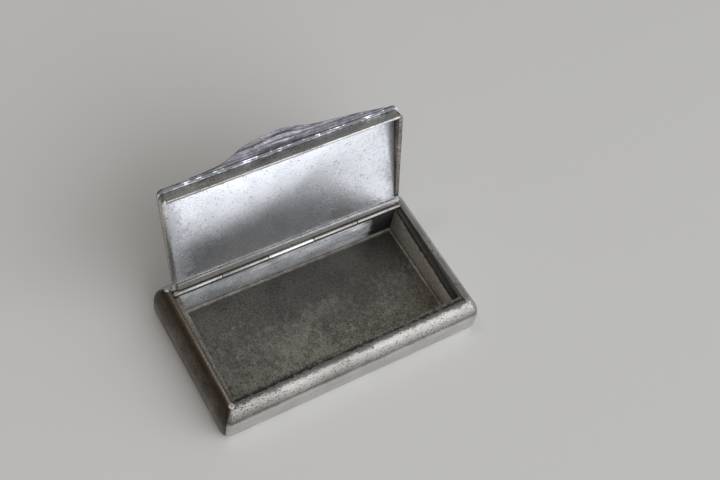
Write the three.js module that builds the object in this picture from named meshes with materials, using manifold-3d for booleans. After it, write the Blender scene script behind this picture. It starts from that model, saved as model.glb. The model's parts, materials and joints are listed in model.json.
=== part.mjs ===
// Rectangular snuff box of silver or pewter with a hinged lid, standing open.
// Millimetres. X runs along the hinge, Y runs back to the hinge and Z is up.
// The origin is the centre of the flat underside, between the four rims.
import * as THREE from 'three';
import { mergeVertices } from 'three/addons/utils/BufferGeometryUtils.js';
import Module from 'manifold-3d';

const wasm = await Module();
wasm.setup();

// Tray: the opening between the rims, the walls that swell out from it and the floor
const openingWidth = 76.6;
const openingDepth = 40;
const rimHeight = 13;
const wallBulge = 4.4;
const shoulderDrop = 7;
const footRadius = 2.6;
const wallCornerRadius = 2.8;
const floorThickness = 1.1;
const mitreSeam = 0.04;

// Linings: strips inside the walls, whose tops are the ledges that the lid rests on
const liningThickness = 1.5;
const rearLiningThickness = 1.9;
const frontLedgeDepth = 0.35;

// Hinge: five knuckles on one pin, with a strip behind them that stops the open lid
const barrelRadius = 1;
const boreRadius = 0.6;
const pinRadius = 0.45;
const knuckleCount = 5;
const knuckleGap = 0.3;
const barrelSetback = 1.7;
const barrelGap = 0.15;
const barrelFloorGap = 0.2;
const openAngle = 106.3;

// Lid: a flat plate whose front flange fits inside the tray, with sides that taper to the hinge
const lidRise = 0.7;
const lidThickness = 0.9;
const lidSideGap = 0.25;
const lidOverhang = 1;
const lidCornerRadius = 2;
const seatClearance = 0.15;
const solderGap = 0.1;
const frontFlangeDepth = 3.6;
const frontFlangeLean = 0.2;
const frontFlangeThickness = 0.8;
const sideFlangeStart = 4;
const sideFlangeRearDepth = 0.3;
const sideFlangeFrontDepth = 2.9;
const lidBearerWidth = 1.9;
const lidBearerThickness = 0.5;

// Thumbpiece: a cast lip over the front rim, steeper on its left than on its right
const thumbLeft = 28;
const thumbRight = 34;
const thumbReach = 5.7;
const thumbEndReach = 0.25;
const thumbHeel = 2.4;
const thumbRise = 1.3;
const thumbEndRise = 0.15;
const thumbCrown = 0.8;
const thumbEdge = 0.35;
const thumbCove = 0.45;
const reedCount = 3;
const reedDepth = 0.28;
const reedHalfLength = 9;

// Number of straight steps in each kind of curve
const sectionSteps = 7;
const wallCornerSteps = 5;
const barrelSteps = 11;
const pinSides = 20;
const lidCornerSteps = 5;
const thumbSteps = 40;
const stepsPerReed = 6;
const thumbTopSteps = 8;

// Places that follow from the sizes above
const halfWidth = openingWidth / 2;
const halfDepth = openingDepth / 2;
const liningFaceX = halfWidth - liningThickness;
const liningFaceFront = -halfDepth + liningThickness;
const liningFaceRear = halfDepth - rearLiningThickness;
const axisY = halfDepth - barrelSetback;
const axisZ = rimHeight + lidRise - barrelRadius;
const barrelFloor = axisZ - barrelRadius - barrelFloorGap;
const lidHalfWidth = halfWidth - lidSideGap;
const lidUnderside = barrelRadius - lidThickness;
const lidBackEdge = barrelRadius + barrelGap + knuckleGap;
const flangeLine = axisY - liningFaceFront - seatClearance;
const lidFrontEdge = flangeLine + lidOverhang;
const frontFlangeHalf = liningFaceX - seatClearance;

// Gives a mesh its name and a finish of its own
function piece(name, geometry, color, roughness) {
  const material = new THREE.MeshStandardMaterial({ color, roughness, metalness: 1 });
  const mesh = new THREE.Mesh(geometry, material);
  mesh.name = name;
  return mesh;
}

const silver = 0xb9bcc0;
const tarnish = 0x77746d;
const hingeSilver = 0xa9abae;

// Keeps positions only and joins the vertices that neighbouring faces share
function weld(geometry) {
  const bare = new THREE.BufferGeometry();
  bare.setAttribute('position', geometry.getAttribute('position').clone());
  if (geometry.index) bare.setIndex(geometry.index.clone());
  return mergeVertices(bare, 1e-4);
}

// Extrudes an outline drawn in Y and Z along X, from x0 to x1
function extrudeAlongX(outline, x0, x1) {
  const geometry = new THREE.ExtrudeGeometry(outline, {
    depth: x1 - x0,
    bevelEnabled: false,
    curveSegments: barrelSteps,
  });
  const alongX = new THREE.Matrix4().makeBasis(
    new THREE.Vector3(0, 1, 0),
    new THREE.Vector3(0, 0, 1),
    new THREE.Vector3(1, 0, 0),
  );
  geometry.applyMatrix4(alongX);
  geometry.translate(x0, 0, 0);
  return geometry;
}

function outlineFrom(points) {
  return new THREE.Shape(points.map(([a, b]) => new THREE.Vector2(a, b)));
}

function block(x0, x1, y0, y1, z0, z1) {
  const geometry = new THREE.BoxGeometry(x1 - x0, y1 - y0, z1 - z0);
  geometry.translate((x0 + x1) / 2, (y0 + y1) / 2, (z0 + z1) / 2);
  return geometry;
}

// Closes a skin over rings of points that correspond, with a flat cap on each end
function loft(rings, capOutline) {
  const count = rings[0].length;
  const positions = rings.flat().flatMap((point) => [point.x, point.y, point.z]);
  const faces = [];
  for (let ring = 0; ring + 1 < rings.length; ring += 1) {
    for (let i = 0; i < count; i += 1) {
      const a = ring * count + i;
      const b = ring * count + ((i + 1) % count);
      faces.push([a, b, b + count], [a, b + count, a + count]);
    }
  }
  const last = (rings.length - 1) * count;
  const clockwise = THREE.ShapeUtils.isClockWise(capOutline);
  for (const [a, b, c] of THREE.ShapeUtils.triangulateShape(capOutline, [])) {
    const cap = clockwise ? [a, c, b] : [a, b, c];
    faces.push([...cap].reverse(), cap.map((corner) => last + corner));
  }
  const geometry = new THREE.BufferGeometry();
  geometry.setAttribute('position', new THREE.Float32BufferAttribute(positions, 3));
  geometry.setIndex(faces.flat());
  return facedOut(withoutSlivers(mergeVertices(geometry, 1e-4)));
}

// Drops the triangles that lost a side where points of a ring meet in one corner
function withoutSlivers(geometry) {
  const index = geometry.index.array;
  const kept = [];
  for (let i = 0; i < index.length; i += 3) {
    const [a, b, c] = [index[i], index[i + 1], index[i + 2]];
    if (a !== b && b !== c && c !== a) kept.push(a, b, c);
  }
  geometry.setIndex(kept);
  return geometry;
}

// Turns a closed skin inside out if its volume comes out negative
function facedOut(geometry) {
  const position = geometry.getAttribute('position');
  const index = geometry.index.array;
  const corner = (i) => new THREE.Vector3().fromBufferAttribute(position, index[i]);
  let volume = 0;
  for (let i = 0; i < index.length; i += 3) {
    volume += corner(i).dot(corner(i + 1).cross(corner(i + 2)));
  }
  if (volume < 0) geometry.setIndex(Array.from(index).reverse());
  return geometry;
}

function solid(geometry) {
  const welded = weld(geometry);
  return new wasm.Manifold(new wasm.Mesh({
    numProp: 3,
    vertProperties: new Float32Array(welded.getAttribute('position').array),
    triVerts: new Uint32Array(welded.index.array),
  }));
}

function geometryOf(body) {
  const mesh = body.getMesh();
  const geometry = new THREE.BufferGeometry();
  geometry.setAttribute('position', new THREE.Float32BufferAttribute(mesh.vertProperties, 3));
  geometry.setIndex(new THREE.Uint32BufferAttribute(mesh.triVerts, 1));
  return geometry;
}

// Wall section as distance out from the rim and height: foot, upright side, round shoulder
function wallSection() {
  const section = new THREE.Path();
  section.moveTo(0, 0);
  section.lineTo(wallBulge - footRadius, 0);
  section.absarc(wallBulge - footRadius, footRadius, footRadius, -Math.PI / 2, 0, false);
  section.lineTo(wallBulge, rimHeight - shoulderDrop);
  section.absellipse(0, rimHeight - shoulderDrop, wallBulge, shoulderDrop, 0, Math.PI / 2, false, 0);
  const points = section.getPoints(sectionSteps);
  return points.filter((point, i) => i === 0 || point.distanceTo(points[i - 1]) > 1e-6);
}

// One wall between two mitred corners, drawn facing -Y and then turned to its side
function wall(length, distance, turn) {
  const section = wallSection();
  const rings = [];
  for (const side of [-1, 1]) {
    for (let step = 0; step <= wallCornerSteps; step += 1) {
      const share = side < 0 ? 1 - step / wallCornerSteps : step / wallCornerSteps;
      const angle = share * Math.PI / 4;
      rings.push(section.map((point) => {
        const radius = wallCornerRadius * point.x / wallBulge;
        const along = length / 2 - mitreSeam / 2 + point.x - radius + radius * Math.sin(angle);
        const out = distance + point.x - radius + radius * Math.cos(angle);
        return new THREE.Vector3(side * along, -out, point.y);
      }));
    }
  }
  const geometry = loft(rings, section);
  geometry.rotateZ(turn);
  return geometry;
}

// Side lining, seen from the side: its ledge falls to the front as the lid's flange deepens
function sideLiningOutline() {
  const flangeFoot = (distance) => {
    const share = (distance - sideFlangeStart) / (flangeLine - sideFlangeStart);
    const depth = THREE.MathUtils.lerp(sideFlangeRearDepth, sideFlangeFrontDepth, share);
    return axisZ + lidUnderside - depth - seatClearance;
  };
  const relief = axisY - barrelRadius - barrelGap;
  return outlineFrom([
    [liningFaceFront, floorThickness],
    [liningFaceRear, floorThickness],
    [liningFaceRear, barrelFloor],
    [relief, barrelFloor],
    [relief, flangeFoot(axisY - relief)],
    [liningFaceFront, flangeFoot(axisY - liningFaceFront)],
  ]);
}

// Strip behind the barrel, cut back at its top to the slope of the lid's outside when open
function stopStripOutline() {
  const lean = THREE.MathUtils.degToRad(openAngle - 90);
  const face = barrelRadius + barrelGap;
  const lidFace = barrelRadius + barrelGap / 2;
  const height = rimHeight - axisZ;
  const slopeFoot = (face * Math.cos(lean) - lidFace) / Math.sin(lean);
  const slopeTop = (lidFace + height * Math.sin(lean)) / Math.cos(lean);
  return outlineFrom([
    [axisY + face, barrelFloor],
    [halfDepth, barrelFloor],
    [halfDepth, rimHeight],
    [axisY + slopeTop, rimHeight],
    [axisY + face, axisZ + slopeFoot],
  ]);
}

// Bore for the pin, about the hinge axis
function bore() {
  const path = new THREE.Path();
  path.absarc(0, 0, boreRadius, 0, 2 * Math.PI, true);
  return path;
}

// Knuckle of the tray: the barrel with a square foot on the rear lining and the stop strip
function trayKnuckleOutline() {
  const footBack = barrelRadius + barrelGap;
  const footFloor = -barrelRadius - barrelFloorGap;
  const outline = new THREE.Shape();
  outline.moveTo(0, footFloor);
  outline.lineTo(footBack, footFloor);
  outline.lineTo(footBack, 0);
  outline.lineTo(barrelRadius, 0);
  outline.absarc(0, 0, barrelRadius, 0, 1.5 * Math.PI, false);
  outline.holes.push(bore());
  return outline;
}

// Knuckle of the lid: the barrel with a leaf flush with the plate, up to the plate's edge
function lidKnuckleOutline() {
  const leafEnd = -lidBackEdge + solderGap;
  const meeting = Math.PI - Math.asin(lidUnderside / barrelRadius);
  const outline = new THREE.Shape();
  outline.moveTo(leafEnd, barrelRadius);
  outline.lineTo(leafEnd, lidUnderside);
  outline.lineTo(barrelRadius * Math.cos(meeting), lidUnderside);
  outline.absarc(0, 0, barrelRadius, meeting, 2.5 * Math.PI, false);
  outline.holes.push(bore());
  return outline;
}

// Ends along X of one knuckle out of the row
function knuckleSpan(number) {
  const pitch = 2 * lidHalfWidth / knuckleCount;
  const start = -lidHalfWidth + number * pitch;
  const first = number === 0 ? 0 : knuckleGap / 2;
  const last = number === knuckleCount - 1 ? 0 : knuckleGap / 2;
  return [start + first, start + pitch - last];
}

// Lid plate in plan, in the lid's closed place about the hinge axis
function lidOutline(backEdge, frontEdge) {
  const outline = new THREE.Shape();
  outline.moveTo(-lidHalfWidth, -backEdge);
  outline.lineTo(-lidHalfWidth, -frontEdge + lidCornerRadius);
  outline.absarc(-lidHalfWidth + lidCornerRadius, -frontEdge + lidCornerRadius, lidCornerRadius,
    Math.PI, Math.PI * 1.5, false);
  outline.lineTo(lidHalfWidth - lidCornerRadius, -frontEdge);
  outline.absarc(lidHalfWidth - lidCornerRadius, -frontEdge + lidCornerRadius, lidCornerRadius,
    Math.PI * 1.5, Math.PI * 2, false);
  outline.lineTo(lidHalfWidth, -backEdge);
  return outline;
}

function lidPlate() {
  const geometry = new THREE.ExtrudeGeometry(lidOutline(lidBackEdge, lidFrontEdge), {
    depth: lidThickness,
    bevelEnabled: false,
    curveSegments: lidCornerSteps,
  });
  geometry.translate(0, 0, lidUnderside);
  return geometry;
}

function frontFlange() {
  const top = lidUnderside - solderGap;
  const foot = lidUnderside - frontFlangeDepth;
  return extrudeAlongX(outlineFrom([
    [-flangeLine, top],
    [-flangeLine + frontFlangeLean, foot],
    [-flangeLine + frontFlangeLean + frontFlangeThickness, foot],
    [-flangeLine + frontFlangeThickness, top],
  ]), -frontFlangeHalf, frontFlangeHalf);
}

// Side flange: a wedge under the plate's edge, with its front corner rounded like the plate's
function sideFlange(side) {
  const top = lidUnderside - solderGap;
  const wedge = extrudeAlongX(outlineFrom([
    [-sideFlangeStart, top],
    [-sideFlangeStart, lidUnderside - sideFlangeRearDepth],
    [-flangeLine, lidUnderside - sideFlangeFrontDepth],
    [-flangeLine, top],
  ]), frontFlangeHalf + solderGap, lidHalfWidth);
  const plan = new THREE.ExtrudeGeometry(lidOutline(0, flangeLine), {
    depth: 2 * frontFlangeDepth,
    bevelEnabled: false,
    curveSegments: lidCornerSteps,
  });
  plan.translate(0, 0, -frontFlangeDepth);
  const geometry = geometryOf(solid(wedge).intersect(solid(plan)));
  if (side < 0) geometry.rotateY(Math.PI).scale(1, 1, -1);
  return side < 0 ? facedOut(geometry) : geometry;
}

// Thumbpiece's edge: share of its reach against share of its left or right half
const thumbEdgeShares = [
  [-1, 0.05],
  [-0.78, 0.12],
  [-0.66, 0.21],
  [-0.56, 0.38],
  [-0.45, 0.66],
  [-0.33, 0.83],
  [-0.11, 0.97],
  [0, 1],
  [0.09, 0.94],
  [0.28, 0.66],
  [0.47, 0.5],
  [0.75, 0.31],
  [1, 0.06],
];

// Section of the thumbpiece at x, whose edge lies at the given distance from the axis
function thumbSection(x, edge) {
  const root = lidFrontEdge + solderGap;
  const overRim = rimHeight - axisZ + seatClearance;
  const seat = barrelRadius + solderGap;
  const reach = Math.max(edge - root, thumbEndReach);
  const fullness = Math.min(reach / (thumbReach - solderGap), 1);
  const heel = root - solderGap - thumbHeel * fullness;
  const edgeBottom = overRim + thumbCove * fullness;
  const edgeTop = edgeBottom + thumbEdge;
  const bulge = THREE.MathUtils.lerp(thumbEndRise, thumbRise, fullness);
  const reeds = reedDepth * fullness * Math.max(0, Math.cos(Math.PI * x / (2 * reedHalfLength)));
  const span = reach - thumbEdge / 4;
  const points = [[heel, seat], [root, seat], [root, overRim]];
  const underSteps = stepsPerReed * reedCount;
  for (let step = 1; step <= underSteps; step += 1) {
    const share = step / underSteps;
    const cove = Math.sin(Math.PI * share / 2) * (edgeBottom - overRim);
    const groove = reeds * (1 - Math.abs(Math.sin(Math.PI * reedCount * share)));
    points.push([root + share * span, overRim + cove + groove * (share < 1 ? 1 : 0)]);
  }
  points.push([root + reach, edgeBottom + thumbEdge / 2]);
  for (let step = 0; step <= thumbTopSteps; step += 1) {
    const share = step / thumbTopSteps;
    const along = THREE.MathUtils.lerp(root + span, heel, share);
    const base = THREE.MathUtils.lerp(edgeTop, seat + solderGap, share);
    points.push([along, base + bulge * Math.max(0, Math.sin(Math.PI * share)) ** thumbCrown]);
  }
  return points;
}

function thumbpiece() {
  const knots = thumbEdgeShares.map(([across, out]) => new THREE.Vector2(
    across * (across < 0 ? thumbLeft : thumbRight),
    lidFrontEdge + out * thumbReach,
  ));
  const edge = new THREE.SplineCurve(knots).getPoints(thumbSteps);
  const sections = edge.map((point) => thumbSection(point.x, point.y));
  const rings = sections.map((section, i) => (
    section.map(([distance, height]) => new THREE.Vector3(edge[i].x, -distance, height))
  ));
  return loft(rings, sections[0].map(([distance, height]) => new THREE.Vector2(-distance, height)));
}

function tray() {
  const group = new THREE.Group();
  const quarter = Math.PI / 2;
  const liningOutline = sideLiningOutline();
  group.add(
    piece('base_plate', block(-halfWidth, halfWidth, -halfDepth, halfDepth,
      0, floorThickness), tarnish, 0.45),
    piece('wall_front', wall(openingWidth, halfDepth, 0), silver, 0.32),
    piece('wall_right', wall(openingDepth, halfWidth, quarter), silver, 0.32),
    piece('wall_rear', wall(openingWidth, halfDepth, 2 * quarter), silver, 0.32),
    piece('wall_left', wall(openingDepth, halfWidth, 3 * quarter), silver, 0.32),
    piece('lining_front', block(-halfWidth, halfWidth, -halfDepth, liningFaceFront,
      floorThickness, rimHeight - frontLedgeDepth), tarnish, 0.4),
    piece('lining_rear', block(-halfWidth, halfWidth, liningFaceRear, halfDepth,
      floorThickness, barrelFloor), tarnish, 0.4),
    piece('lining_left', extrudeAlongX(liningOutline, -halfWidth, -liningFaceX), tarnish, 0.4),
    piece('lining_right', extrudeAlongX(liningOutline, liningFaceX, halfWidth), tarnish, 0.4),
    piece('hinge_stop_strip', extrudeAlongX(stopStripOutline(), -halfWidth, halfWidth), hingeSilver, 0.35),
  );
  return group;
}

// Knuckles on the tray are the odd ones of the row, with their feet back and down
function trayHinge() {
  const group = new THREE.Group();
  group.position.set(0, axisY, axisZ);
  const outline = trayKnuckleOutline();
  const names = ['tray_knuckle_left', 'tray_knuckle_centre', 'tray_knuckle_right'];
  names.forEach((name, i) => {
    group.add(piece(name, extrudeAlongX(outline, ...knuckleSpan(2 * i)), hingeSilver, 0.3));
  });
  const pin = new THREE.CylinderGeometry(pinRadius, pinRadius, 2 * lidHalfWidth - knuckleGap, pinSides);
  pin.rotateZ(Math.PI / 2);
  group.add(piece('hinge_pin', pin, hingeSilver, 0.4));
  return group;
}

// The lid is built closed about the hinge axis and turned open as one group
function lid() {
  const group = new THREE.Group();
  group.position.set(0, axisY, axisZ);
  group.rotation.x = -THREE.MathUtils.degToRad(openAngle);
  const leaf = lidKnuckleOutline();
  ['lid_knuckle_left', 'lid_knuckle_right'].forEach((name, i) => {
    group.add(piece(name, extrudeAlongX(leaf, ...knuckleSpan(2 * i + 1)), hingeSilver, 0.3));
  });
  const bearerTop = lidUnderside - solderGap;
  group.add(
    piece('lid_plate', lidPlate(), silver, 0.28),
    piece('lid_flange_front', frontFlange(), silver, 0.35),
    piece('lid_flange_left', sideFlange(-1), silver, 0.35),
    piece('lid_flange_right', sideFlange(1), silver, 0.35),
    piece('lid_hinge_bearer', block(-frontFlangeHalf, frontFlangeHalf, -lidBackEdge - lidBearerWidth,
      -lidBackEdge, bearerTop - lidBearerThickness, bearerTop), hingeSilver, 0.35),
    piece('thumbpiece', thumbpiece(), silver, 0.35),
  );
  return group;
}

const snuffBox = new THREE.Group();
snuffBox.add(tray(), trayHinge(), lid());

export default snuffBox;
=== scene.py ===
"""Dresses the hinged snuff box: worn silver walls, a tarnished inside, a bright lid and its cast thumbpiece.

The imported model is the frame. Its nodes keep their shapes and get worn edges and metal finishes here, and the
thumbpiece, the solder round the floor and the solder on the rim's corners are modelled anew.
"""
import json
import logging
from dataclasses import dataclass, field, replace
from enum import Enum
from math import cos, radians, sin

import bpy
from mathutils import Matrix, Vector


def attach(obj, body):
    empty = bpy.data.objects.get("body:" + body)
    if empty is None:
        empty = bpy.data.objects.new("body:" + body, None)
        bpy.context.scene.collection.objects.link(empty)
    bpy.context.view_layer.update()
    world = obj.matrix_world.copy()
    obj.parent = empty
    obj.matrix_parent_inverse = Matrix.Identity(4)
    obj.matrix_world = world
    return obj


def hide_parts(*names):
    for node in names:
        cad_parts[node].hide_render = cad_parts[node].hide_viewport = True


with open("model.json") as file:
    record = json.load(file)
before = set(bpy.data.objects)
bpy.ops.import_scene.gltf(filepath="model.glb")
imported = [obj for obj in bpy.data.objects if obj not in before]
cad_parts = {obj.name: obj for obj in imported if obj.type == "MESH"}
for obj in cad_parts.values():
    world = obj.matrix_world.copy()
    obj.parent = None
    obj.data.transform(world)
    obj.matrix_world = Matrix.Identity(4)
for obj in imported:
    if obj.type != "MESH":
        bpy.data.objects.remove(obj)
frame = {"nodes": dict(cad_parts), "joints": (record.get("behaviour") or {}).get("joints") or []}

log = logging.getLogger("snuff_box")

MM = 0.001
PHOTO_WIDTH = 720
HINGE_AXIS = Vector(frame["joints"][0]["pos_m"])
OPEN_ANGLE = radians(frame["joints"][0]["range_deg"][1])
ALONG_X = (1.0, 0.0, 0.0)
ALONG_Y = (0.0, 1.0, 0.0)
ALONG_Z = (0.0, 0.0, 1.0)

# Corners closer than this are one corner, in millimetres: CAD meshes are loose triangles
SAME_CORNER = 0.002

# Kinds and settings of the nodes that the patterns are joined with
MATH = "ShaderNodeMath"
MIX = "ShaderNodeMix"
RANGE = "ShaderNodeMapRange"
VECTOR_MATH = "ShaderNodeVectorMath"
PLUS = {"operation": "ADD"}
MINUS = {"operation": "SUBTRACT"}
MINUS_CLAMPED = {"operation": "SUBTRACT", "use_clamp": True}
TIMES = {"operation": "MULTIPLY"}
TIMES_CLAMPED = {"operation": "MULTIPLY", "use_clamp": True}
TIMES_PLUS = {"operation": "MULTIPLY_ADD"}
LARGER = {"operation": "MAXIMUM"}
BELOW = {"operation": "LESS_THAN"}
DOT = {"operation": "DOT_PRODUCT"}
COLOURS = {"data_type": "RGBA"}
SMOOTH = {"interpolation_type": "SMOOTHSTEP"}
# Numbers of the mix node's sockets when it mixes colours
MIX_SHARE, MIX_FROM, MIX_TO, MIXED = 0, 6, 7, 2

# Dirt packed in a joint, and painted shade in the same colour: nearly black, dull, and hiding nearly all of the metal
DIRT_AND_SHADE = "#0E0C0A"
DIRT_AND_SHADE_ROUGHNESS = 0.75
DIRT_AND_SHADE_COVER = 0.9
# How far fine blotches stretch a ragged band, how much slow ones thin it, and both blotches' sizes in millimetres
BAND_FRAY, BAND_THINNING = 1.4, 0.5
FRAY_SIZE, THINNING_SIZE = 1.6, 9.0
# A pit's edge in its cell, where it starts and where it is full, and how far it wanders
PIT_EDGE, PIT_FULL, PIT_WANDER = 0.46, 0.26, 0.3
PIT_DARKNESS = 0.92
# Grain of the skin in millimetres, drawn far coarser than real so that it breaks the gloss up in the render
GRAIN_SIZE = 0.35
# Rubbing runs along the box, so streaks and scratches are drawn twenty times longer that way
RUBBING = (0.05, 1, 1)


class Place(Enum):
    """Where a pattern lies: still with the tray, or turned with the open lid and measured from its hinge."""

    TRAY = "tray"
    LID = "lid"


def linear(colour: str) -> tuple[float, float, float, float]:
    """Turns an sRGB hex colour to linear light.

    Args:
        colour: Six hex digits after a hash sign.

    Returns:
        Red, green, blue and a full alpha.
    """
    parts = [int(colour[i:i + 2], 16) / 255 for i in (1, 3, 5)]
    lit = [c / 12.92 if c <= 0.04045 else ((c + 0.055) / 1.055) ** 2.4 for c in parts]
    return (lit[0], lit[1], lit[2], 1.0)


def add_node(tree: bpy.types.NodeTree, kind: str, settings: dict | None = None,
             inputs: dict | None = None) -> bpy.types.Node:
    """Adds a node with its settings and links.

    Args:
        tree: The tree to add to.
        kind: The node's type name.
        settings: Attributes to set.
        inputs: Values or output sockets, by the input's name or number.

    Returns:
        The new node.
    """
    node = tree.nodes.new(kind)
    for name, value in (settings or {}).items():
        setattr(node, name, value)
    for name, value in (inputs or {}).items():
        if isinstance(value, bpy.types.NodeSocket):
            tree.links.new(value, node.inputs[name])
        else:
            node.inputs[name].default_value = value
    return node


@dataclass(frozen=True)
class Blotches:
    """Noise of a real size in millimetres, spread from none to all of it between two raw levels."""

    size: float
    none: float
    full: float
    detail: float

    def add(self, tree: bpy.types.NodeTree, where: bpy.types.NodeSocket) -> bpy.types.NodeSocket:
        """Adds the blotches to a material.

        Args:
            tree: The material's tree.
            where: The coordinates.

        Returns:
            A value from 0 to 1.
        """
        raw = add_node(tree, "ShaderNodeTexNoise", {}, {
            "Vector": where, "Scale": 1 / (self.size * MM), "Detail": self.detail})
        return add_node(tree, RANGE, SMOOTH, {
            "Value": raw.outputs["Fac"], "From Min": self.none, "From Max": self.full}).outputs["Result"]


@dataclass(frozen=True)
class DirtAndShadeBand:
    """A straight dark band, given as a plane across one direction, in millimetres: joint dirt and painted shade.

    The dark lies to either side as far as the width. A ragged edge wanders, and a crisp one ends at once.
    """

    across: tuple[float, float, float]
    at: float
    width: float
    strength: float = 1.0
    ragged: float = 0.7
    crisp: float = 2.2

    def mask(self, tree: bpy.types.NodeTree, where: bpy.types.NodeSocket, fine: bpy.types.NodeSocket,
             slow: bpy.types.NodeSocket) -> bpy.types.NodeSocket:
        """Gives the dirt and painted shade along this band.

        Args:
            tree: The material's tree.
            where: The coordinates.
            fine: Fine blotches that fray the edge.
            slow: Large blotches that thin the dark in some places and swell it in others.

        Returns:
            A value from 0 to 1.
        """
        along = add_node(tree, VECTOR_MATH, DOT, {0: where, 1: self.across}).outputs["Value"]
        offset = add_node(tree, MATH, MINUS, {0: along, 1: self.at * MM}).outputs[0]
        away = add_node(tree, MATH, {"operation": "ABSOLUTE"}, {0: offset}).outputs[0]
        reach = add_node(tree, MATH, TIMES_PLUS, {
            0: fine, 1: BAND_FRAY * self.ragged * self.width * MM, 2: (1 - self.ragged) * self.width * MM}).outputs[0]
        swell = add_node(tree, MATH, TIMES_PLUS, {
            0: slow, 1: self.ragged, 2: 1 - BAND_THINNING * self.ragged}).outputs[0]
        reach = add_node(tree, MATH, TIMES, {0: reach, 1: swell}).outputs[0]
        share = add_node(tree, MATH, {"operation": "DIVIDE"}, {0: away, 1: reach}).outputs[0]
        near = add_node(tree, MATH, MINUS_CLAMPED, {0: 1.0, 1: share}).outputs[0]
        darkened = add_node(tree, MATH, TIMES_CLAMPED, {0: near, 1: self.crisp}).outputs[0]
        return add_node(tree, MATH, TIMES, {0: darkened, 1: self.strength}).outputs[0]


@dataclass(frozen=True)
class Fade:
    """A zone that wear fades into along one direction, from none at one place to all at another, in millimetres."""

    across: tuple[float, float, float]
    none: float
    full: float

    def zone(self, tree: bpy.types.NodeTree, where: bpy.types.NodeSocket) -> bpy.types.NodeSocket:
        """Gives the share of the wear.

        Args:
            tree: The material's tree.
            where: The coordinates.

        Returns:
            A value from 0 to 1.
        """
        along = add_node(tree, VECTOR_MATH, DOT, {0: where, 1: self.across}).outputs["Value"]
        return add_node(tree, RANGE, SMOOTH, {
            "Value": along, "From Min": self.none * MM, "From Max": self.full * MM}).outputs["Result"]


@dataclass(frozen=True)
class Patterns:
    """The coordinates and patterns that a metal's colour, gloss and relief share. Zone and dark bands may be missing.
    """

    where: bpy.types.NodeSocket
    rubbed: bpy.types.NodeSocket
    clouds: bpy.types.NodeSocket
    specks: bpy.types.NodeSocket
    pits: bpy.types.NodeSocket
    zone: bpy.types.NodeSocket | None
    dirt_and_shade: bpy.types.NodeSocket | None


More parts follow.
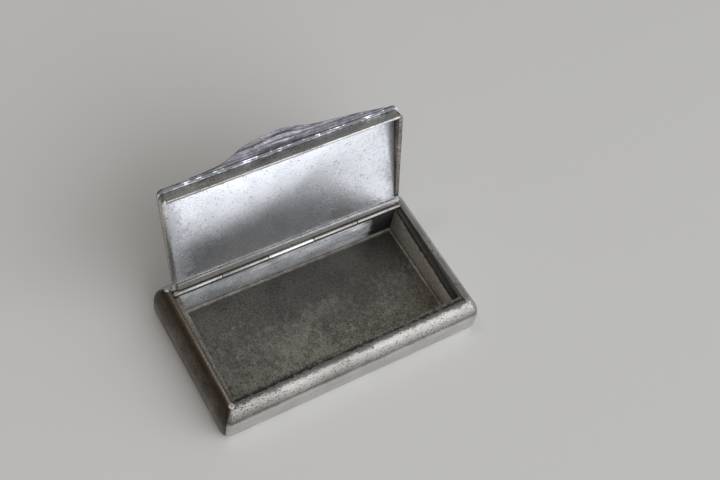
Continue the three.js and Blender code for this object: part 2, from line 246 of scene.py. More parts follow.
@dataclass(frozen=True)
class Metal:
    """A worn metal, cast or rolled and then hand finished. Sizes are in millimetres.

    Clouds of the film's colour lie on the bright metal, with dark specks, pale glints, pits, streaks, scratches and
    dirt over them, and bands of painted shade on some finishes. Specks, glints, pits and scratches are drawn a few
    times coarser than real, so that they show at the render's size. Grit makes specks and glints denser. Lean, twist
    and sway tilt the shading by a few degrees, as an uneven sheet does, and leave the mesh flat.
    """

    name: str
    bright: str
    film: str
    dark: str
    roughness: float
    rough_spread: float = 0.1
    cloud_size: float = 9.0
    cloud_amount: float = 0.5
    speckle_size: float = 0.45
    speckle_amount: float = 0.25
    glint_size: float = 0.4
    glint_amount: float = 0.0
    glint: str = "#E8E6E0"
    grit: float = 0.0
    metalness: float = 1.0
    pit_spacing: float = 1.1
    pit_share: float = 0.25
    pit_depth: float = 0.03
    pitted: Fade | None = None
    pitted_bright: str = "#87858A"
    lean: float = 0.0
    twist: float = 0.0
    sway: float = 0.0
    streaks: float = 0.0
    streak_width: float = 0.5
    scratch_width: float = 0.25
    scratch_depth: float = 0.004
    ripple_size: float = 11.0
    ripple_depth: float = 0.03
    grain_depth: float = 0.006
    dirt_and_shade_bands: tuple[DirtAndShadeBand, ...] = ()
    dirt_top: float | None = None
    place: Place = Place.TRAY

    def coordinates(self, tree: bpy.types.NodeTree) -> bpy.types.NodeSocket:
        """Gives the pattern's coordinates, turned and moved to the closed lid's where the pattern is on the lid.

        Args:
            tree: The material's tree.

        Returns:
            The coordinates in metres.
        """
        here = add_node(tree, "ShaderNodeTexCoord").outputs["Object"]
        if self.place is Place.TRAY:
            return here
        turn = Matrix.Rotation(OPEN_ANGLE, 3, "X")
        return add_node(tree, "ShaderNodeMapping", {"vector_type": "POINT"}, {
            "Vector": here, "Rotation": (OPEN_ANGLE, 0, 0), "Location": -(turn @ HINGE_AXIS),
        }).outputs["Vector"]

    def pits(self, tree: bpy.types.NodeTree, where: bpy.types.NodeSocket) -> bpy.types.NodeSocket:
        """Gives the pits: ragged spots in some cells of a pattern, which crowd in some places and leave others.

        Args:
            tree: The material's tree.
            where: The coordinates.

        Returns:
            A value from 0 to 1.
        """
        cells = add_node(tree, "ShaderNodeTexVoronoi", {}, {"Vector": where, "Scale": 1 / (self.pit_spacing * MM)})
        chance = add_node(tree, "ShaderNodeSeparateColor", {}, {"Color": cells.outputs["Color"]}).outputs[0]
        chosen = add_node(tree, MATH, BELOW, {0: chance, 1: self.pit_share}).outputs[0]
        wander = Blotches(0.3 * self.pit_spacing, none=0.3, full=0.7, detail=1.0).add(tree, where)
        edge = add_node(tree, MATH, TIMES_PLUS, {0: wander, 1: PIT_WANDER, 2: cells.outputs["Distance"]}).outputs[0]
        spots = add_node(tree, RANGE, SMOOTH, {
            "Value": edge, "From Min": PIT_EDGE, "From Max": PIT_FULL}).outputs["Result"]
        spots = add_node(tree, MATH, TIMES, {0: spots, 1: chosen}).outputs[0]
        crowds = Blotches(2.5 * self.pit_spacing, none=0.34, full=0.52, detail=2.0).add(tree, where)
        return add_node(tree, MATH, TIMES, {0: spots, 1: crowds}).outputs[0]

    def dirt_and_shade(self, tree: bpy.types.NodeTree, where: bpy.types.NodeSocket) -> bpy.types.NodeSocket | None:
        """Gives the dirt and painted shade along all the bands, up to the height where they stop.

        Args:
            tree: The material's tree.
            where: The coordinates.

        Returns:
            A value from 0 to 1, or None without bands.
        """
        if not self.dirt_and_shade_bands:
            return None
        fine = Blotches(FRAY_SIZE, none=0.25, full=0.75, detail=8.0).add(tree, where)
        slow = Blotches(THINNING_SIZE, none=0.3, full=0.7, detail=1.0).add(tree, where)
        total = self.dirt_and_shade_bands[0].mask(tree, where, fine, slow)
        for band in self.dirt_and_shade_bands[1:]:
            total = add_node(tree, MATH, LARGER, {0: total, 1: band.mask(tree, where, fine, slow)}).outputs[0]
        if self.dirt_top is not None:
            height = add_node(tree, VECTOR_MATH, DOT, {0: where, 1: ALONG_Z}).outputs["Value"]
            under = add_node(tree, MATH, BELOW, {0: height, 1: self.dirt_top * MM}).outputs[0]
            total = add_node(tree, MATH, TIMES, {0: total, 1: under}).outputs[0]
        return total

    def patterns(self, tree: bpy.types.NodeTree) -> Patterns:
        """Lays out the patterns that the colour, the gloss and the relief share.

        Args:
            tree: The material's tree.

        Returns:
            The patterns. Pits and specks keep to the pitted zone where there is one.
        """
        where = self.coordinates(tree)
        rubbed = add_node(tree, "ShaderNodeMapping", {}, {"Vector": where, "Scale": RUBBING}).outputs[0]
        clouds = Blotches(self.cloud_size, none=0.36, full=0.66, detail=6.0).add(tree, where)
        specks = Blotches(self.speckle_size, none=0.56 - 0.12 * self.grit, full=0.7, detail=3.0).add(tree, where)
        pits = self.pits(tree, where)
        zone = None
        if self.pitted is not None:
            zone = self.pitted.zone(tree, where)
            pits = add_node(tree, MATH, TIMES, {0: pits, 1: zone}).outputs[0]
            specks = add_node(tree, MATH, TIMES, {0: specks, 1: zone}).outputs[0]
        return Patterns(where, rubbed, clouds, specks, pits, zone, self.dirt_and_shade(tree, where))

    def colour(self, tree: bpy.types.NodeTree, drawn: Patterns) -> bpy.types.NodeSocket:
        """Lays the colours over each other, from the bright metal up to the dirt and painted shade.

        Args:
            tree: The material's tree.
            drawn: The shared patterns.

        Returns:
            The colour.
        """
        layers = [(drawn.clouds, self.cloud_amount, self.film)]
        if drawn.zone is not None:
            layers.append((drawn.zone, 1.0, self.pitted_bright))
        layers.append((drawn.specks, self.speckle_amount, self.dark))
        if self.glint_amount > 0:
            glints = Blotches(self.glint_size, none=0.54 - 0.1 * self.grit, full=0.7, detail=3.0)
            patches = Blotches(3 * self.cloud_size, none=0.35, full=0.6, detail=2.0)
            both = add_node(tree, MATH, TIMES, {0: glints.add(tree, drawn.where), 1: patches.add(tree, drawn.where)})
            layers.append((both.outputs[0], self.glint_amount, self.glint))
        if self.streaks > 0:
            streaks = Blotches(self.streak_width, none=0.45, full=0.62, detail=3.0).add(tree, drawn.rubbed)
            layers.append((streaks, self.streaks, self.dark))
        layers.append((drawn.pits, PIT_DARKNESS, self.dark))
        if drawn.dirt_and_shade is not None:
            layers.append((drawn.dirt_and_shade, 1.0, DIRT_AND_SHADE))
        colour: object = linear(self.bright)
        for pattern, amount, tone in layers:
            share = add_node(tree, MATH, TIMES, {0: pattern, 1: amount}).outputs[0]
            colour = add_node(tree, MIX, COLOURS, {
                MIX_SHARE: share, MIX_FROM: colour, MIX_TO: linear(tone)}).outputs[MIXED]
        return colour

    def tilt(self, tree: bpy.types.NodeTree, where: bpy.types.NodeSocket) -> bpy.types.NodeSocket:
        """Tilts the shading by the lean, which the twist changes from side to side, and by the sway.

        Args:
            tree: The material's tree.
            where: The coordinates.

        Returns:
            The tilted normal.
        """
        across = add_node(tree, VECTOR_MATH, DOT, {0: where, 1: ALONG_X}).outputs["Value"]
        inwards = add_node(tree, VECTOR_MATH, DOT, {0: where, 1: ALONG_Y}).outputs["Value"]
        slope = add_node(tree, MATH, TIMES_PLUS, {0: across, 1: self.twist / MM, 2: self.lean}).outputs[0]
        height = add_node(tree, MATH, TIMES, {0: inwards, 1: slope}).outputs[0]
        height = add_node(tree, MATH, TIMES_PLUS, {0: across, 1: self.sway, 2: height}).outputs[0]
        return add_node(tree, "ShaderNodeBump", {}, {"Height": height, "Strength": 1.0, "Distance": 1.0}).outputs[0]

    def relief(self, tree: bpy.types.NodeTree, drawn: Patterns) -> bpy.types.NodeSocket:
        """Gives the small unevenness: hammered ripples, scratches, the skin's grain and the pits.

        Args:
            tree: The material's tree.
            drawn: The shared patterns.

        Returns:
            The normal.
        """
        ripples = Blotches(self.ripple_size, none=0.2, full=0.8, detail=1.0).add(tree, drawn.where)
        scratches = Blotches(self.scratch_width, none=0.42, full=0.75, detail=3.0).add(tree, drawn.rubbed)
        grain = Blotches(GRAIN_SIZE, none=0.25, full=0.75, detail=2.0).add(tree, drawn.where)
        normal = self.tilt(tree, drawn.where) if self.lean else None
        for height, depth in ((ripples, self.ripple_depth), (scratches, self.scratch_depth),
                              (grain, self.grain_depth), (drawn.pits, -self.pit_depth)):
            inputs = {"Height": height, "Strength": 1.0, "Distance": abs(depth) * MM}
            if normal is not None:
                inputs["Normal"] = normal
            normal = add_node(tree, "ShaderNodeBump", {"invert": depth < 0}, inputs).outputs["Normal"]
        return normal

    def material(self) -> bpy.types.Material:
        """Builds the material.

        Returns:
            A metal with clouds of tarnish, specks, pits, scratches, and dirt and painted shade in its bands.
        """
        made = bpy.data.materials.new(self.name)
        made.use_nodes = True
        tree = made.node_tree
        tree.nodes.clear()
        drawn = self.patterns(tree)
        rough = add_node(tree, MATH, TIMES_PLUS, {
            0: drawn.clouds, 1: self.rough_spread, 2: self.roughness}).outputs[0]
        rougher = add_node(tree, MATH, TIMES, {0: drawn.specks, 1: self.rough_spread}).outputs[0]
        rough = add_node(tree, MATH, PLUS, {0: rough, 1: rougher}).outputs[0]
        metallic: object = self.metalness
        if drawn.dirt_and_shade is not None:
            dull = add_node(tree, MATH, TIMES, {0: drawn.dirt_and_shade, 1: DIRT_AND_SHADE_ROUGHNESS}).outputs[0]
            rough = add_node(tree, MATH, LARGER, {0: rough, 1: dull}).outputs[0]
            covered = add_node(tree, MATH, TIMES, {0: drawn.dirt_and_shade, 1: DIRT_AND_SHADE_COVER}).outputs[0]
            metallic = add_node(tree, MATH, MINUS_CLAMPED, {0: self.metalness, 1: covered}).outputs[0]
        shader = add_node(tree, "ShaderNodeBsdfPrincipled", {}, {
            "Base Color": self.colour(tree, drawn), "Roughness": rough, "Metallic": metallic,
            "Normal": self.relief(tree, drawn)})
        add_node(tree, "ShaderNodeOutputMaterial", {}, {"Surface": shader.outputs[0]})
        return made


# Silver of a low grade or pewter, raised in sheet and worn by hands: pale grey, softly glossy, thinly clouded
WORN_SILVER = Metal(name="worn_sheet_silver", bright="#C0BEBA", film="#A3A09B", dark="#38332F", roughness=0.27,
                    grit=0.4, glint_amount=0.3)
# The same sheet on the front, pale over its swell, with a shoulder that corrosion has eaten into dark pits
PITTED_SILVER = replace(WORN_SILVER, name="pitted_front_silver", bright="#C9C7C3", film="#ABA9A4", dark="#1E1A17",
                        speckle_size=0.3, speckle_amount=0.7, grit=1.0, glint_size=0.3, glint_amount=0.5,
                        pit_spacing=0.7, pit_share=0.85, pit_depth=0.06, pitted_bright="#8F8B84", grain_depth=0.04)
# The same sheet on the side turned from the window, painted dark brown for its shade, so that it mirrors the room
# darkly
SHADED_SIDE_SILVER = Metal(name="painted_shade_side_silver", bright="#585047", film="#3F3730", dark="#16110D", roughness=0.26,
                       cloud_size=6.0, cloud_amount=0.7, speckle_size=0.35, speckle_amount=0.4, grit=0.5,
                       glint_size=0.35, glint_amount=0.3, glint="#C9BFAF", grain_depth=0.012)
# The side towards the window, a pale warm grey copy of the same finish, painted light for the light that falls there
LIT_SIDE_SILVER = replace(SHADED_SIDE_SILVER, name="painted_light_side_silver", bright="#D0CDC7", film="#A7A39B")
# The same metal kept from hands under the lid, brighter and closer to a mirror, with fine black specks. It leans as
# an uneven sheet does, so the window's reflection ends in a soft slope across it
LID_SILVER = Metal(name="bright_lid_silver", bright="#E8EAEE", film="#CFD0D2", dark="#3A3634", roughness=0.21,
                   rough_spread=0.07, cloud_amount=0.5, speckle_size=0.3, speckle_amount=0.2, grit=0.5,
                   pit_spacing=0.8, pit_share=0.3, pit_depth=0.02, ripple_depth=0.012, grain_depth=0.02,
                   metalness=0.94, lean=0.112, twist=-0.0011, sway=0.02, place=Place.LID)
# Thin strips soldered under the lid: pale, hazy and streaked along their length
FLANGE_SILVER = replace(WORN_SILVER, name="dull_flange_silver", bright="#E6E4DE", film="#BDBBB4", cloud_amount=0.8,
                        speckle_amount=0.55, grit=0.8, glint_amount=0.4, streaks=0.25, grain_depth=0.02,
                        dirt_and_shade_bands=(DirtAndShadeBand(ALONG_Z, 0.0, width=0.4, strength=0.8),), place=Place.LID)
# The flange whose inner face is turned from the window: a dark brown copy painted with the shade on it, as the box's
# left side is
SHADED_FLANGE = replace(FLANGE_SILVER, name="painted_shade_flange_silver", bright="#8C8078", film="#5F554E",
                         dark="#1C1613")
# Cast metal of the thumbpiece: greyer than sheet, cloudy, with dark streaks left between its reeds
CAST_SILVER = replace(WORN_SILVER, name="cast_thumbpiece_silver", bright="#9B989F", film="#625F67", roughness=0.3,
                      cloud_size=2.4, cloud_amount=0.6, speckle_amount=0.4, grit=0.8, grain_depth=0.02,
                      streaks=0.7, streak_width=0.7, place=Place.LID)
# The strip behind, which faces the window: scaly, and painted nearly white and half dull for the window's reflection
# in it
REAR_LINING = replace(WORN_SILVER, name="painted_reflection_rear_lining", bright="#FFFFFF", film="#C4C7CC", metalness=0.45,
                      cloud_size=5.0, cloud_amount=0.8, speckle_amount=0.45, grit=0.7, streaks=0.3,
                      streak_width=0.7, grain_depth=0.03)
# Tarnished metal that powder has lain on: dark olive brown, half dull, with pale specks where it is rubbed
TARNISH = Metal(name="tarnished_floor_metal", bright="#A8A59A", film="#78756D", dark="#141210", roughness=0.26,
                rough_spread=0.08, cloud_size=12.0, cloud_amount=0.6, speckle_size=0.33, speckle_amount=0.8,
                grit=1.0, glint_size=0.3, glint_amount=0.9, glint="#D6CEBA", pit_spacing=0.9, pit_share=0.5,
                pit_depth=0.05, grain_depth=0.03, metalness=0.72)
# Tarnish painted pale and half dull for the light it catches, so that it shows more of its own colour than of the
# room
LIT_SIDE_LINING = replace(TARNISH, name="painted_light_side_lining", bright="#F0ECE2", film="#CDC8BC", metalness=0.25)
# Tarnish a little browner than the floor's, and tarnish nearly black with packed powder
LEFT_LINING = replace(TARNISH, name="dirty_left_lining", bright="#ABA598", film="#7C766B")
FRONT_LINING = replace(TARNISH, name="dirty_front_lining", bright="#6F6C64", film="#4E4B44")
# Drawn tube and wire of the hinge, rubbed bright on its crown
HINGE_SILVER = Metal(name="rubbed_hinge_silver", bright="#B9B7B1", film="#8E8A83", dark="#332E2A", roughness=0.26,
                     cloud_size=5.0, speckle_size=0.35, speckle_amount=0.45, grit=0.6, pit_share=0.2,
                     pit_depth=0.015, ripple_depth=0.008)
# The tray's middle knuckle, painted brighter for the highlight along it, and those at the ends, which stay dim
HIGHLIT_KNUCKLE = replace(HINGE_SILVER, name="painted_highlight_centre_knuckle", bright="#CFCCC6", film="#ADAAA4")
DIM_KNUCKLE = replace(HINGE_SILVER, name="dim_hinge_silver", bright="#94928C", film="#6E6B65")
# The lid's knuckles, the pin and the stop, greyed in the folds of the hinge
DULL_HINGE = replace(HINGE_SILVER, name="dull_hinge_silver", bright="#9A9892", film="#67635C")
# The bearer strip, left hazy by the file, so that it mirrors the room less
HAZY_BEARER = replace(HINGE_SILVER, name="hazy_bearer_silver", metalness=0.7)
# Solder run into the corners with a torch: leaden, smooth and slightly wavy
SOLDER = Metal(name="leaden_solder", bright="#A09C92", film="#6B675F", dark="#1A1815", roughness=0.42,
               metalness=0.8, cloud_size=2.5, cloud_amount=0.6, speckle_size=0.3, speckle_amount=0.5, grit=0.8,
               pit_spacing=0.8, pit_share=0.3, ripple_size=1.6, ripple_depth=0.08, scratch_depth=0.0,
               grain_depth=0.02)
# The same solder standing on the rim, rubbed smooth, and painted pale and half dull for the highlight on each corner
CORNER_SOLDER = replace(SOLDER, name="painted_highlight_corner_solder", bright="#D8D3CC", film="#B2ADA6", roughness=0.3,
                        metalness=0.7, speckle_amount=0.5, grit=0.6, pit_share=0.0, ripple_depth=0.01)


def soften(node: bpy.types.Object, width: float, angle: float = 34.0) -> None:
    """Wears a CAD node's sharp edges round and shades its curves smoothly, and leaves its own mesh alone.

    Args:
        node: The node's object.
        width: The worn edge's width in millimetres.
        angle: The least turn of an edge that is worn, in degrees.
    """
    weld = node.modifiers.new("joined_faces", "WELD")
    weld.merge_threshold = SAME_CORNER * MM
    worn = node.modifiers.new("worn_edges", "BEVEL")
    worn.width = width * MM
    worn.segments = 2
    worn.limit_method = "ANGLE"
    worn.angle_limit = radians(angle)
    worn.use_clamp_overlap = True
    worn.harden_normals = True
    node.data.polygons.foreach_set("use_smooth", [True] * len(node.data.polygons))
    node.data.update()


def dress(piece: bpy.types.Object, metal: bpy.types.Material) -> None:
    """Gives a piece one material in all its slots, and reports it.

    Args:
        piece: The piece's object.
        metal: Its material.
    """
    piece.data.materials.clear()
    piece.data.materials.append(metal)
    log.info("%s: %s", piece.name, metal.name)


def finish_nodes(finishes: dict[str, bpy.types.Material], edge: float) -> None:
    """Dresses CAD nodes and wears their edges.

    Args:
        finishes: Each node's material, by the node's name.
        edge: The worn edge's width in millimetres.
    """
    for name, metal in finishes.items():
        dress(frame["nodes"][name], metal)
        soften(frame["nodes"][name], edge)


@dataclass
class Tray:
    """The box under the lid: walls, floor, linings and the solder in the corners. Sizes are in millimetres."""

    edge: float = 0.12
    rim: float = 13.0
    opening: tuple[float, float] = (38.3, 20.0)
    # Places of the front wall's dirt and painted shade, and the heights between which pits fade in on two walls
    front_crease: float = -19.9
    front_shoulder: float = 8.9
    front_swell: float = 6.2
    front_pitting: tuple[float, float] = (7.4, 9.0)
    left_pitting: tuple[float, float] = (10.6, 12.4)
    # Inner faces of the linings, and the side linings' sloping tops, on which the lid comes to rest
    floor_top: float = 1.1
    lining_x: float = 36.8
    lining_front: float = -18.5
    lining_rear: float = 18.1
    ledge: float = 10.9
    ledge_upright: tuple[float, float, float] = (0.0, -0.0794, 0.9968)
    # Places of the linings' dirt and painted shade, and how far a line of powder lies from the left lining
    shaded_end: float = 19.0
    rear_foot: float = 2.1
    rear_top: float = 11.0
    powder_line: float = 1.7
    # The solder round the floor: its reach, its steps, its thickness and how deep it is sunk into the linings
    fillet: float = 0.9
    fillet_steps: int = 5
    fillet_drop: float = 0.98
    fillet_skin: float = 0.04
    fillet_sunk: float = 0.1
    fillet_smoothing: float = 40.0
    # The solder on the rim's corners: its radius, its flatness and its place out from the opening's corner
    dome: float = 0.95
    dome_height: float = 0.3
    dome_out: float = 0.75
    dome_sunk: float = 0.2
    dome_smoothing: float = 50.0
    corners: tuple[tuple[int, int], ...] = ((-1, -1), (1, -1), (1, 1), (-1, 1))

    def floor(self) -> None:
        """Dresses the base, dark round its edge, in a broad fade from the back, and in a line beside the left."""
        dirt_and_shade_bands = (DirtAndShadeBand(ALONG_X, -self.lining_x, width=1.2, strength=0.6),
                 DirtAndShadeBand(ALONG_X, self.lining_x, width=1.2, strength=0.15),
                 DirtAndShadeBand(ALONG_Y, self.lining_front, width=1.2, strength=0.6),
                 DirtAndShadeBand(ALONG_Y, self.lining_rear, width=1.6, strength=0.6),
                 DirtAndShadeBand(ALONG_Y, self.lining_rear, width=38.0, strength=0.74, ragged=0.4, crisp=1.6),
                 DirtAndShadeBand(ALONG_X, -self.lining_x, width=13.0, strength=0.35, ragged=0.5),
                 DirtAndShadeBand(ALONG_X, -self.lining_x + self.powder_line, width=2.2, strength=0.7, ragged=1.0, crisp=1.6))
        finish_nodes({"base_plate": replace(TARNISH, dirt_and_shade_bands=dirt_and_shade_bands).material()}, self.edge)

    def walls(self) -> None:
        """Dresses the four walls that swell out from the rim. The front is pitted on its shoulder only."""
        # The black line at the crease is dirt and painted shade; the faint broad band over the swell is painted shade
        # that tones down the window's reflection there
        front = replace(PITTED_SILVER, pitted=Fade(ALONG_Z, *self.front_pitting), dirt_and_shade_bands=(
            DirtAndShadeBand(ALONG_Y, self.front_crease, width=0.7, strength=0.95, ragged=1.0),
            DirtAndShadeBand(ALONG_Z, self.rim, width=0.6, strength=0.5),
            DirtAndShadeBand(ALONG_Z, self.front_shoulder, width=0.9, strength=0.45, ragged=1.0),
            DirtAndShadeBand(ALONG_Z, self.front_swell, width=3.0, strength=0.14, ragged=0.3, crisp=1.4)))
        # The left wall: the shaded copy, with a painted contact shadow along its foot, and paler and pitted towards
        # the rim
        left = replace(SHADED_SIDE_SILVER, pitted=Fade(ALONG_Z, *self.left_pitting), pitted_bright="#787067",
                       dirt_and_shade_bands=(DirtAndShadeBand(ALONG_Z, 0.0, width=0.5, strength=0.8),))
        finish_nodes({"wall_front": front.material(), "wall_right": LIT_SIDE_SILVER.material(),
                      "wall_rear": WORN_SILVER.material(), "wall_left": left.material()}, self.edge)

    def linings(self) -> None:
        """Dresses the strips inside the walls, dark where their tops meet the walls with dirt and painted shade."""
        inner = self.opening[0]
        # The black line at the crease is dirt and painted shade, as on the front wall
        front = replace(FRONT_LINING, dirt_and_shade_bands=(
            DirtAndShadeBand(ALONG_Y, self.front_crease, width=1.0, strength=0.85, ragged=1.0),))
        left = replace(LEFT_LINING, dirt_and_shade_bands=(
            DirtAndShadeBand(ALONG_X, -inner, width=0.5, strength=0.5, ragged=1.0),
            DirtAndShadeBand(self.ledge_upright, self.ledge, width=1.4, strength=0.35, ragged=1.0)))
        # The right strip: its lines at the rim and under the ledge are dirt and painted shade, and its darkening
        # towards the shaded end at the back is painted shade
        right = replace(LIT_SIDE_LINING, dirt_and_shade_bands=(
            DirtAndShadeBand(ALONG_X, inner, width=0.4, strength=0.9, ragged=0.3),
            DirtAndShadeBand(self.ledge_upright, self.ledge, width=1.6, strength=0.95, ragged=0.4),
            DirtAndShadeBand(ALONG_Y, self.shaded_end, width=14.0, strength=0.35, ragged=0.4)))
        # The rear strip: black over its right end and darker under the hinge, both painted shade
        rear = replace(REAR_LINING, dirt_and_shade_bands=(
            DirtAndShadeBand(ALONG_Z, self.rear_foot, width=0.14, strength=0.7, ragged=0.4),
            DirtAndShadeBand(ALONG_Z, self.rear_top, width=4.0, strength=0.35, ragged=0.5, crisp=1.2),
            DirtAndShadeBand(ALONG_X, inner, width=17.0, strength=1.0, ragged=0.15)))
        finish_nodes({"lining_front": front.material(), "lining_left": left.material(),
                      "lining_right": right.material(), "lining_rear": rear.material()}, self.edge)

    def solder_floor(self) -> None:
        """Runs a hollow fillet of solder round the floor: a plane stepped down and in, then its middle cut out."""
        width = 2 * self.lining_x + self.fillet_sunk
        depth = self.lining_rear - self.lining_front + self.fillet_sunk
        middle = (self.lining_rear + self.lining_front) / 2
        bpy.ops.object.select_all(action="DESELECT")
        bpy.ops.mesh.primitive_plane_add(size=1.0)
        ring = bpy.context.object
        ring.name = "floor_solder"
        bpy.ops.object.mode_set(mode="EDIT")
        bpy.ops.mesh.select_all(action="SELECT")
        bpy.ops.transform.resize(value=(width * MM, depth * MM, 1.0))
        bpy.ops.transform.translate(value=(0.0, middle * MM, (self.floor_top + self.fillet) * MM))
        turns = [radians(90 * step / self.fillet_steps) for step in range(self.fillet_steps + 1)]
        reached = [(self.fillet * (1 - cos(turn)), self.fillet * sin(turn)) for turn in turns]
        for (inward, down), (next_inward, next_down) in zip(reached, reached[1:]):
            bpy.ops.mesh.inset(thickness=(next_inward - inward) * MM,
                               depth=-(next_down - down) * self.fillet_drop * MM)
        bpy.ops.mesh.delete(type="FACE")
        bpy.ops.object.mode_set(mode="OBJECT")
        body = ring.modifiers.new("body", "SOLIDIFY")
        body.thickness = self.fillet_skin * MM
        body.offset = 1.0
        bpy.ops.object.modifier_apply(modifier="body")
        bpy.ops.object.shade_smooth_by_angle(angle=radians(self.fillet_smoothing))
        dirt_and_shade_bands = (DirtAndShadeBand(ALONG_Y, self.lining_rear, width=1.6, strength=0.3),
                 DirtAndShadeBand(ALONG_X, -self.lining_x, width=1.6, strength=0.8),
                 DirtAndShadeBand(ALONG_Y, self.lining_front, width=1.6, strength=0.8))
        dress(ring, replace(SOLDER, dirt_and_shade_bands=dirt_and_shade_bands).material())
        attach(ring, "tray")

    def solder_corners(self) -> None:
        """Sets a small flat dome of solder on each corner where two rims meet: one is modelled and then copied."""
        bpy.ops.object.select_all(action="DESELECT")
        bpy.ops.mesh.primitive_uv_sphere_add(segments=24, ring_count=12, radius=self.dome * MM)
        model = bpy.context.object
        bpy.ops.object.mode_set(mode="EDIT")
        bpy.ops.mesh.select_all(action="SELECT")
        bpy.ops.transform.resize(value=(1.0, 1.0, self.dome_height))
        bpy.ops.mesh.bisect(plane_co=(0, 0, 0), plane_no=(0, 0, 1), use_fill=True, clear_inner=True)
        bpy.ops.object.mode_set(mode="OBJECT")
        bpy.ops.object.shade_smooth_by_angle(angle=radians(self.dome_smoothing))
        metal = CORNER_SOLDER.material()
        for number, (side, end) in enumerate(self.corners, start=1):
            place = Vector((side * (self.opening[0] + self.dome_out), end * (self.opening[1] + self.dome_out),
                            self.rim - self.dome_sunk)) * MM
            dome = bpy.data.objects.new(f"corner_solder_{number}", model.data.copy())
            dome.data.transform(Matrix.Translation(place))
            bpy.context.scene.collection.objects.link(dome)
            dress(dome, metal)
            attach(dome, "tray")
        bpy.data.meshes.remove(model.data)

    def build(self) -> None:
        """Dresses every part of the tray and adds its solder."""
        self.floor()
        self.walls()
        self.linings()
        self.solder_floor()
        self.solder_corners()


@dataclass
class Hinge:
    """The row of knuckles, their pin, the strip behind them and the lid's bearer."""

    edge: float = 0.08

    def build(self) -> None:
        """Dresses the knuckles one by one, the tray's middle one painted brighter for its highlight."""
        dim, dull = DIM_KNUCKLE.material(), DULL_HINGE.material()
        finish_nodes({"tray_knuckle_left": dim, "tray_knuckle_centre": HIGHLIT_KNUCKLE.material(),
                      "tray_knuckle_right": dim, "lid_knuckle_left": dull, "lid_knuckle_right": dull,
                      "hinge_pin": dull, "hinge_stop_strip": dull, "lid_hinge_bearer": HAZY_BEARER.material()},
                     self.edge)


@dataclass
class Lid:
    """The lid's plate and flanges, and the thumbpiece cast onto its front edge. Sizes are in millimetres."""

    edge: float = 0.12
    # Where the flanges meet the plate, measured from the hinge or the middle, and the cove behind the thumbpiece
    flange_line: float = 36.65
    side_line: float = 36.75
    front_corner: float = 37.25
    cove: float = 38.55
    # Dirt stops at this height, just inside the plate, so the lid's outside stays clean
    dirt_top: float = 0.9
    cast_smoothing: float = 50.0

    def plate(self) -> None:
        """Dresses the plate, with dirt in the corners under it."""
        dirt_and_shade_bands = (DirtAndShadeBand(ALONG_Y, -self.front_corner, width=0.9, strength=0.75, ragged=1.0),
                 DirtAndShadeBand(ALONG_X, -self.side_line, width=0.9, strength=0.8),
                 DirtAndShadeBand(ALONG_X, self.side_line, width=0.9, strength=0.6),
                 DirtAndShadeBand(ALONG_X, -self.side_line, width=7.0, strength=0.55, ragged=0.6, crisp=0.9),
                 DirtAndShadeBand(ALONG_X, self.side_line, width=6.0, strength=0.5, ragged=0.6, crisp=0.9),
                 DirtAndShadeBand(ALONG_Y, -self.flange_line, width=2.2, strength=0.35, ragged=0.6, crisp=0.9))
        finish_nodes({"lid_plate": replace(LID_SILVER, dirt_and_shade_bands=dirt_and_shade_bands, dirt_top=self.dirt_top).material()}, self.edge)

    def flanges(self) -> None:
        """Dresses the three flanges, dirty where they meet the plate; the right one is a copy painted with its shade.
        """
        dull = FLANGE_SILVER.material()
        finish_nodes({"lid_flange_front": dull, "lid_flange_left": dull,
                      "lid_flange_right": SHADED_FLANGE.material()}, self.edge)

    def thumbpiece(self) -> None:
        """Makes the cast thumbpiece from the CAD one, with its faces rounded as casting and thumbs leave them."""
        bpy.ops.object.select_all(action="DESELECT")
        cast = bpy.data.objects.new("thumbpiece_casting", frame["nodes"]["thumbpiece"].data.copy())
        bpy.context.scene.collection.objects.link(cast)
        bpy.context.view_layer.objects.active = cast
        cast.select_set(True)
        bpy.ops.object.mode_set(mode="EDIT")
        bpy.ops.mesh.select_all(action="SELECT")
        bpy.ops.mesh.remove_doubles(threshold=SAME_CORNER * MM)
        bpy.ops.mesh.tris_convert_to_quads()
        bpy.ops.object.mode_set(mode="OBJECT")
        finer = cast.modifiers.new("finer", "SUBSURF")
        finer.levels = finer.render_levels = 1
        bpy.ops.object.modifier_apply(modifier="finer")
        bpy.ops.object.shade_smooth_by_angle(angle=radians(self.cast_smoothing))
        # A dark band painted in the cove at the thumbpiece's root, for the shade under it
        band = DirtAndShadeBand(ALONG_Y, -self.cove, width=1.0, strength=0.5, ragged=0.8, crisp=1.4)
        dress(cast, replace(CAST_SILVER, dirt_and_shade_bands=(band,)).material())
        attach(cast, "lid")
        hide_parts("thumbpiece")

    def build(self) -> None:
        """Dresses every part of the lid."""
        self.plate()
        self.flanges()
        self.thumbpiece()


@dataclass(frozen=True)
class Lamp:
    """A soft lamp that faces the box. Its place and size are in metres and its power in watts."""

    name: str
    place: tuple[float, float, float]
    size: tuple[float, float]
    power: float
    colour: str
    aim: tuple[float, float, float] = (0, 0, 0.01)

    def hang(self) -> None:
        """Hangs the lamp."""
        light = bpy.data.lights.new(self.name, "AREA")
        light.shape = "RECTANGLE"
        light.size, light.size_y = self.size
        light.energy = self.power
        light.color = linear(self.colour)[:3]
        holder = bpy.data.objects.new(self.name, light)
        holder.location = self.place
        holder.rotation_euler = (Vector(self.aim) - Vector(self.place)).to_track_quat("-Z", "Y").to_euler()
        bpy.context.scene.collection.objects.link(holder)


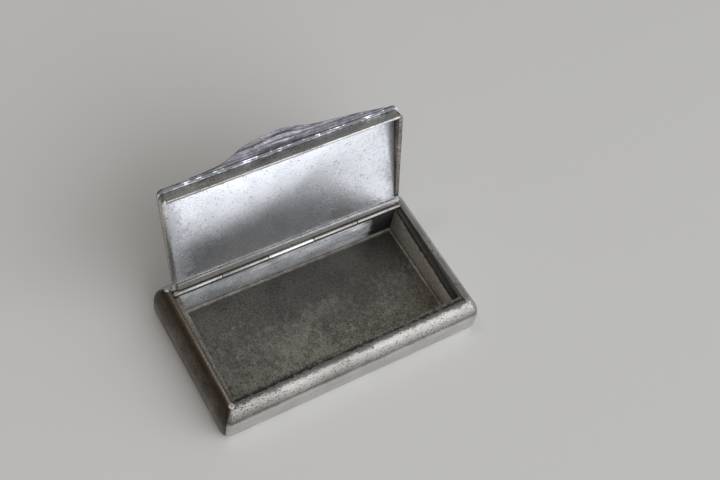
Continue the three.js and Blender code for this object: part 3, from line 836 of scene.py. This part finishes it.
@dataclass
class Studio:
    """Plain floor, soft light and the camera at the photograph's angle. The camera's sizes are in millimetres."""

    azimuth: float = -40.06
    elevation: float = 54.71
    roll: float = 12.31
    distance: float = 363.83
    focal_pixels: float = 1187.44
    target: Vector = field(default_factory=lambda: Vector((21.81, 13.445, 10.0)))
    sensor: float = 36.0
    near_m: float = 0.01
    floor_m: float = 4.0
    floor_colour: str = "#DFDDD9"
    lamps: tuple[Lamp, ...] = (Lamp("window", (0.6, -1.28, 0.75), (2.4, 1.6), 23.0, "#EAEFFC"),
                               Lamp("ceiling", (-0.45, 0.35, 1.35), (0.2, 0.2), 1.4, "#FFFAF2"))
    behind_colour: str = "#8B8C8C"
    front_colour: str = "#F2F2F0"
    left_colour: str = "#5C524A"
    front_fade: tuple[float, float] = (0.1, -0.6)
    left_fade: tuple[float, float] = (-0.2, -0.7)

    def camera(self) -> None:
        """Places the camera."""
        az, el, roll = radians(self.azimuth), radians(self.elevation), radians(self.roll)
        back = Vector((sin(az) * cos(el), -cos(az) * cos(el), sin(el)))
        level = Vector((cos(az), sin(az), 0))
        rise = back.cross(level)
        right = level * cos(roll) + rise * sin(roll)
        up = rise * cos(roll) - level * sin(roll)
        lens = bpy.data.cameras.new("camera")
        lens.sensor_fit = "HORIZONTAL"
        lens.sensor_width = self.sensor
        lens.lens = self.focal_pixels / PHOTO_WIDTH * lens.sensor_width
        lens.clip_start = self.near_m
        camera = bpy.data.objects.new("camera", lens)
        turned = Matrix((right, up, back)).transposed().to_4x4()
        turned.translation = (self.target + back * self.distance) * MM
        camera.matrix_world = turned
        bpy.context.scene.collection.objects.link(camera)
        bpy.context.scene.camera = camera

    def floor(self) -> None:
        """Lays the plain floor, a pale board under clear varnish that mirrors the box faintly."""
        bpy.ops.object.select_all(action="DESELECT")
        bpy.ops.mesh.primitive_plane_add(size=self.floor_m, location=(0, 0, 0))
        ground = bpy.context.object
        ground.name = "floor"
        paint = bpy.data.materials.new("matt_pale_board")
        paint.use_nodes = True
        paint.node_tree.nodes.clear()
        shader = add_node(paint.node_tree, "ShaderNodeBsdfPrincipled", {}, {
            "Base Color": linear(self.floor_colour), "Roughness": 0.25, "IOR": 1.8})
        add_node(paint.node_tree, "ShaderNodeOutputMaterial", {}, {"Surface": shader.outputs[0]})
        ground.data.materials.append(paint)

    def world(self) -> None:
        """Lights the room: paler towards the front, where the window is, and darker behind and to the left."""
        room = bpy.data.worlds.new("room")
        bpy.context.scene.world = room
        room.use_nodes = True
        tree = room.node_tree
        tree.nodes.clear()
        toward = add_node(tree, "ShaderNodeTexCoord").outputs["Generated"]
        parts = add_node(tree, "ShaderNodeSeparateXYZ", {}, {"Vector": toward})
        tone: object = linear(self.behind_colour)
        for axis, (none, full), colour in (("Y", self.front_fade, self.front_colour),
                                           ("X", self.left_fade, self.left_colour)):
            share = add_node(tree, RANGE, SMOOTH, {
                "Value": parts.outputs[axis], "From Min": none, "From Max": full}).outputs["Result"]
            tone = add_node(tree, MIX, COLOURS, {
                MIX_SHARE: share, MIX_FROM: tone, MIX_TO: linear(colour)}).outputs[MIXED]
        backdrop = add_node(tree, "ShaderNodeBackground", {}, {"Color": tone, "Strength": 1.0})
        add_node(tree, "ShaderNodeOutputWorld", {}, {"Surface": backdrop.outputs[0]})

    def build(self) -> None:
        """Sets up the floor, the lamps, the room and the camera."""
        self.floor()
        for lamp in self.lamps:
            lamp.hang()
        self.world()
        self.camera()
        bpy.context.scene.view_settings.view_transform = "Standard"


def main() -> None:
    """Builds the box's sub-assemblies in order, then the studio, and reports each."""
    logging.basicConfig(level=logging.INFO, format="%(name)s %(message)s")
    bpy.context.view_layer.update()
    for part in (Tray(), Hinge(), Lid(), Studio()):
        part.build()
        log.info("built: %s", type(part).__name__.lower())


if __name__ == "__main__":
    main()
